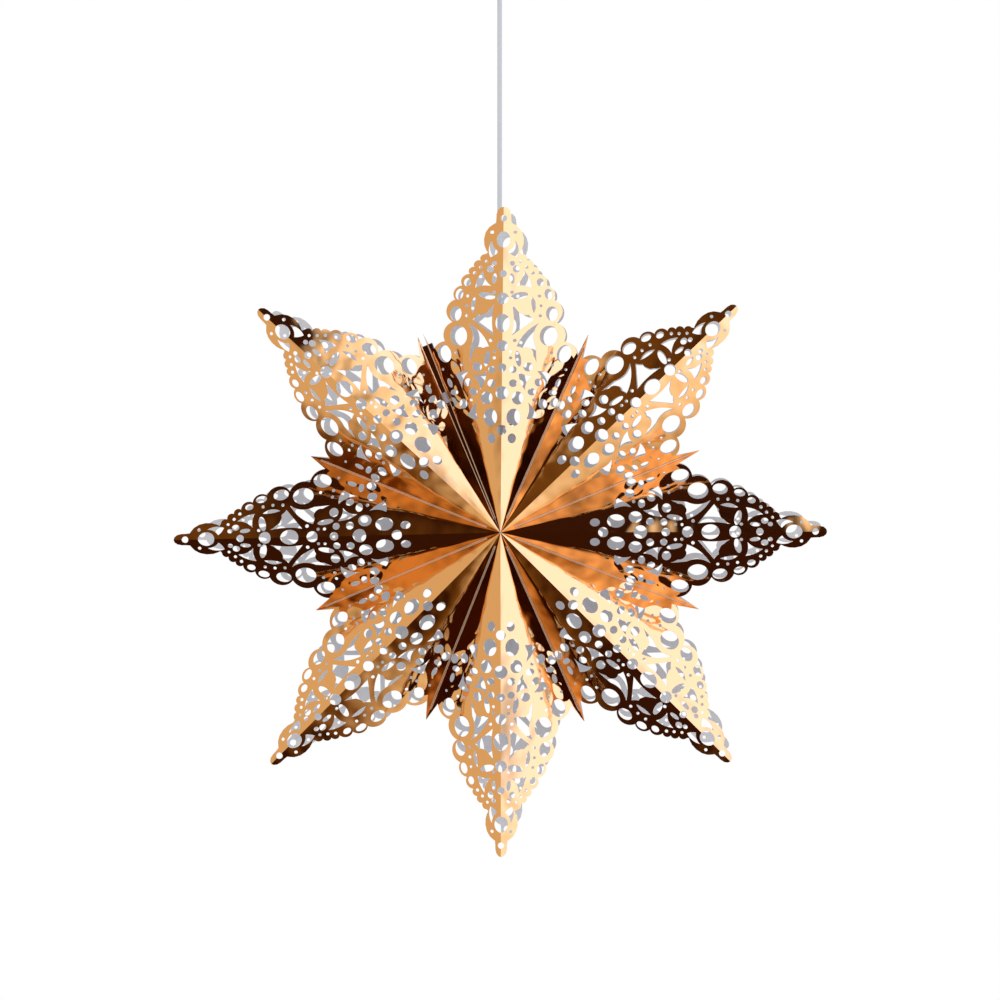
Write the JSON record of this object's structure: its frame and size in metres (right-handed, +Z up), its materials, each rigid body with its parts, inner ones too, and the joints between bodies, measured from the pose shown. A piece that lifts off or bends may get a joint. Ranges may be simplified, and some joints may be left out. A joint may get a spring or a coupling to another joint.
{
  "type": "moravian star pendant",
  "caption": "Fold-flat pierced paper star, copper foil outside and white inside, hung by a wire hanger on a corded lampholder from a ceiling cup.",
  "frame": {"origin": "middle of the ceiling cup's rim, on the ceiling plane", "axes": "+Z up to the ceiling, -Y out of the star's front, +X to the star's right as seen"},
  "size_m": [0.7039, 0.1996, 1.003],
  "materials": {
    "copper_paper": "mirror-like copper foil on white card",
    "white_metal": "satin",
    "steel": "satin",
    "white_plastic": "satin",
    "cord": "matte",
    "ceramic": "matte",
    "brass": "satin",
    "opal_glass": "opal",
    "black_glass": "gloss",
    "pad_plastic": "matte"
  },
  "bodies": {
    "ceiling": {"ceiling_cup": "white_metal", "ceiling_bracket": "steel", "terminal_block": "white_plastic", "cord_grip": "white_plastic", "grip_nut": "white_plastic", "cord_tail": "cord"},
    "lamp": {"pendant_cord": "cord", "holder_cap": "white_plastic", "holder_shell": "white_plastic", "contact_block": "ceramic", "screw_shell": "brass", "centre_contact": "brass"},
    "bulb": {"bulb_globe": "opal_glass", "bulb_cap": "steel", "bulb_contact": "black_glass"},
    "star": {"star_hanger": "steel", "closing_pads": "pad_plastic", "front_point_1": "copper_paper", "front_point_2": "copper_paper", "front_point_3": "copper_paper", "front_point_4": "copper_paper", "front_point_5": "copper_paper", "front_point_6": "copper_paper", "front_point_7": "copper_paper", "front_point_8": "copper_paper", "back_point_1": "copper_paper", "back_point_2": "copper_paper", "back_point_3": "copper_paper", "back_point_4": "copper_paper", "back_point_5": "copper_paper", "back_point_6": "copper_paper", "back_point_7": "copper_paper", "back_point_8": "copper_paper"}
  },
  "joints": [
    {"name": "pendant_swing", "type": "hinge", "parent": "ceiling", "child": "lamp", "pos_m": [0, 0, -0.057], "axis": [1, 0, 0], "range_deg": [-25, 25]},
    {"name": "star_turn", "type": "hinge", "parent": "lamp", "child": "star", "pos_m": [0, 0, -0.588], "axis": [0, 0, 1], "continuous": true},
    {"name": "bulb_turn", "type": "hinge", "parent": "lamp", "child": "bulb", "pos_m": [0, 0, -0.635], "axis": [0, 0, 1], "range_deg": [-1080, 0]}
  ]
}
